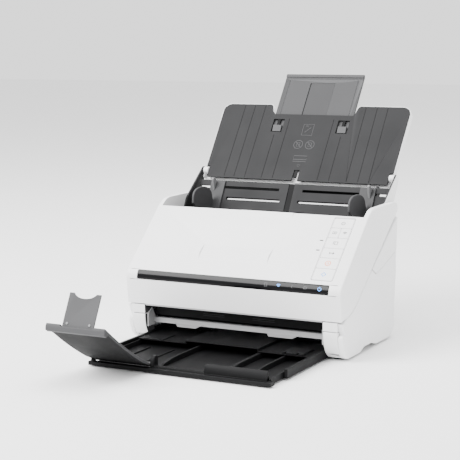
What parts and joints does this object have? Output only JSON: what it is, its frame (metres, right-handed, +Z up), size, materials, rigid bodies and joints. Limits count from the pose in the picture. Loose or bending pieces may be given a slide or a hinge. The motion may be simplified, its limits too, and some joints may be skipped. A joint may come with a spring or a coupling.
{
  "type": "sheet fed document scanner",
  "caption": "Upright sheet fed document scanner: opening front cover with keys, folding input tray with edge guides, roller paper path and a pull-out delivery tray with stopper",
  "frame": {"origin": "centre of the bounding box on the desk", "axes": "+X across the width to the key side, +Y to the back, +Z up"},
  "size_m": [0.296, 0.5054, 0.3258],
  "materials": {
    "body_white": "satin moulded plastic",
    "tray_dark_grey": "fine textured moulded plastic",
    "part_mid_grey": "satin moulded plastic",
    "part_light_grey": "satin moulded plastic",
    "tray_black": "fine textured moulded plastic",
    "light_bar_black": "smooth gloss plastic",
    "roller_rubber": "ground rubber",
    "foot_rubber": "moulded rubber",
    "steel": "zinc plated",
    "scan_glass": "clear",
    "circuit_board": "green solder mask"
  },
  "bodies": {
    "base": {"side_cover_right": "body_white", "side_cover_left": "body_white", "side_insert_right": "body_white", "side_insert_left": "body_white", "rear_cover": "body_white", "rear_screw_right": "steel", "rear_screw_left": "steel", "front_foot_right": "body_white", "front_foot_left": "body_white", "hinge_block_right": "body_white", "hinge_block_left": "body_white", "base_chassis": "steel", "lower_guide": "tray_black", "lower_scan_module": "tray_black", "lower_scan_glass": "scan_glass", "hopper_plate": "tray_dark_grey", "drive_motor": "steel", "tray_arm_right": "body_white", "tray_arm_left": "body_white", "tray_rail_right": "tray_black", "tray_rail_left": "tray_black", "exit_ledge": "part_light_grey", "main_board": "circuit_board", "power_inlet": "tray_black", "usb_port": "steel", "foot_pad_front_right": "foot_rubber", "foot_pad_front_left": "foot_rubber", "foot_pad_rear_right": "foot_rubber", "foot_pad_rear_left": "foot_rubber"},
    "front_cover": {"front_cover_shell": "body_white", "status_light_window": "light_bar_black", "upper_scan_module": "tray_black", "upper_scan_glass": "scan_glass", "upper_guide": "tray_black", "button_board": "circuit_board"},
    "scan_key": {"scan_button": "body_white"},
    "stop_key": {"stop_button": "body_white"},
    "feed_mode_key": {"feed_mode_button": "body_white"},
    "sheet_mode_key": {"sheet_mode_button": "body_white"},
    "link_key": {"link_button": "body_white"},
    "wireless_key": {"wireless_button": "body_white"},
    "power_key": {"power_button": "body_white"},
    "separation_shaft": {"separation_roller": "roller_rubber"},
    "pinch_shaft": {"pinch_roller": "roller_rubber"},
    "feed_shaft": {"feed_roller": "roller_rubber", "feed_gear": "part_light_grey"},
    "exit_shaft": {"exit_roller": "roller_rubber"},
    "pickup_shaft": {"pickup_roller": "roller_rubber"},
    "motor_shaft": {"motor_pinion": "steel"},
    "right_guide": {"edge_guide_right": "part_mid_grey"},
    "left_guide": {"edge_guide_left": "part_mid_grey"},
    "guide_gear": {"guide_pinion": "part_light_grey"},
    "input_tray": {"input_tray_panel": "tray_dark_grey", "input_tray_shell": "body_white"},
    "input_extension": {"input_tray_extension": "part_mid_grey"},
    "delivery_tray": {"output_tray": "tray_black"},
    "delivery_extension": {"output_tray_extension": "tray_black"},
    "stopper_flap": {"stopper": "part_mid_grey"},
    "stopper_tip": {"stopper_extension": "part_mid_grey"}
  },
  "joints": [
    {"name": "front_cover_hinge", "type": "hinge", "parent": "base", "child": "front_cover", "pos_m": [0, -0.0273, 0.0535], "axis": [1, 0, 0], "range_deg": [0, 65]},
    {"name": "scan_press", "type": "slide", "parent": "front_cover", "child": "scan_key", "axis": [0, 0.6704, -0.742], "range_m": [0, 0.0008], "stiffness_N_per_m": 400},
    {"name": "stop_press", "type": "slide", "parent": "front_cover", "child": "stop_key", "axis": [0, 0.6704, -0.742], "range_m": [0, 0.0008], "stiffness_N_per_m": 400},
    {"name": "feed_mode_press", "type": "slide", "parent": "front_cover", "child": "feed_mode_key", "axis": [0, 0.6704, -0.742], "range_m": [0, 0.0008], "stiffness_N_per_m": 400},
    {"name": "sheet_mode_press", "type": "slide", "parent": "front_cover", "child": "sheet_mode_key", "axis": [0, 0.6704, -0.742], "range_m": [0, 0.0008], "stiffness_N_per_m": 400},
    {"name": "link_press", "type": "slide", "parent": "front_cover", "child": "link_key", "axis": [0, 0.6704, -0.742], "range_m": [0, 0.0008], "stiffness_N_per_m": 400},
    {"name": "wireless_press", "type": "slide", "parent": "front_cover", "child": "wireless_key", "axis": [0, 0.6704, -0.742], "range_m": [0, 0.0008], "stiffness_N_per_m": 400},
    {"name": "power_press", "type": "slide", "parent": "front_cover", "child": "power_key", "axis": [0, 0.6704, -0.742], "range_m": [0, 0.0008], "stiffness_N_per_m": 400},
    {"name": "separation_spin", "type": "hinge", "parent": "front_cover", "child": "separation_shaft", "pos_m": [0, 0.09, 0.12498], "axis": [1, 0, 0], "continuous": true},
    {"name": "pinch_spin", "type": "hinge", "parent": "front_cover", "child": "pinch_shaft", "pos_m": [0, 0.05879, 0.09687], "axis": [1, 0, 0], "continuous": true},
    {"name": "feed_spin", "type": "hinge", "parent": "base", "child": "feed_shaft", "pos_m": [0, 0.06839, 0.08621], "axis": [1, 0, 0], "continuous": true},
    {"name": "exit_spin", "type": "hinge", "parent": "base", "child": "exit_shaft", "pos_m": [0, 0.01488, 0.03803], "axis": [1, 0, 0], "continuous": true},
    {"name": "pickup_spin", "type": "hinge", "parent": "base", "child": "pickup_shaft", "pos_m": [0, 0.0996, 0.11431], "axis": [1, 0, 0], "continuous": true},
    {"name": "motor_spin", "type": "hinge", "parent": "base", "child": "motor_shaft", "pos_m": [0, 0.08553, 0.06906], "axis": [1, 0, 0], "continuous": true},
    {"name": "right_guide_slide", "type": "slide", "parent": "base", "child": "right_guide", "axis": [-1, 0, 0], "range_m": [0, 0.08]},
    {"name": "left_guide_slide", "type": "slide", "parent": "base", "child": "left_guide", "axis": [1, 0, 0], "range_m": [0, 0.08]},
    {"name": "guide_gear_spin", "type": "hinge", "parent": "base", "child": "guide_gear", "pos_m": [0, 0.14717, 0.17526], "axis": [0, -0.866, 0.5], "range_deg": [-5, 960]},
    {"name": "input_tray_hinge", "type": "hinge", "parent": "base", "child": "input_tray", "pos_m": [0, 0.1572, 0.199], "axis": [1, 0, 0], "range_deg": [0, 133]},
    {"name": "input_extension_slide", "type": "slide", "parent": "input_tray", "child": "input_extension", "axis": [0, -0.5934, -0.8049], "range_m": [0, 0.0505]},
    {"name": "delivery_tray_slide", "type": "slide", "parent": "base", "child": "delivery_tray", "axis": [0, 1, 0], "range_m": [0, 0.104]},
    {"name": "delivery_extension_slide", "type": "slide", "parent": "delivery_tray", "child": "delivery_extension", "axis": [0, 1, 0], "range_m": [0, 0.023]},
    {"name": "stopper_fold", "type": "hinge", "parent": "delivery_extension", "child": "stopper_flap", "pos_m": [0, -0.1533, 0.0085], "axis": [-1, 0, 0], "range_deg": [0, 143.5]},
    {"name": "stopper_tip_fold", "type": "hinge", "parent": "stopper_flap", "child": "stopper_tip", "pos_m": [0, -0.24683, 0.06736], "axis": [-1, 0, 0], "range_deg": [0, 95.7]}
  ],
  "couplings": [
    {"joint": "pinch_spin", "follows": "feed_spin", "ratio": -1.3333},
    {"joint": "separation_spin", "follows": "feed_spin", "ratio": -1.3333},
    {"joint": "exit_spin", "follows": "feed_spin", "ratio": 1},
    {"joint": "pickup_spin", "follows": "feed_spin", "ratio": 1},
    {"joint": "motor_spin", "follows": "feed_spin", "ratio": -3},
    {"joint": "left_guide_slide", "follows": "right_guide_slide", "ratio": 1},
    {"joint": "guide_gear_spin", "follows": "right_guide_slide", "rad_per_m": 208.33},
    {"joint": "stopper_tip_fold", "follows": "stopper_fold", "ratio": 0.6669}
  ]
}
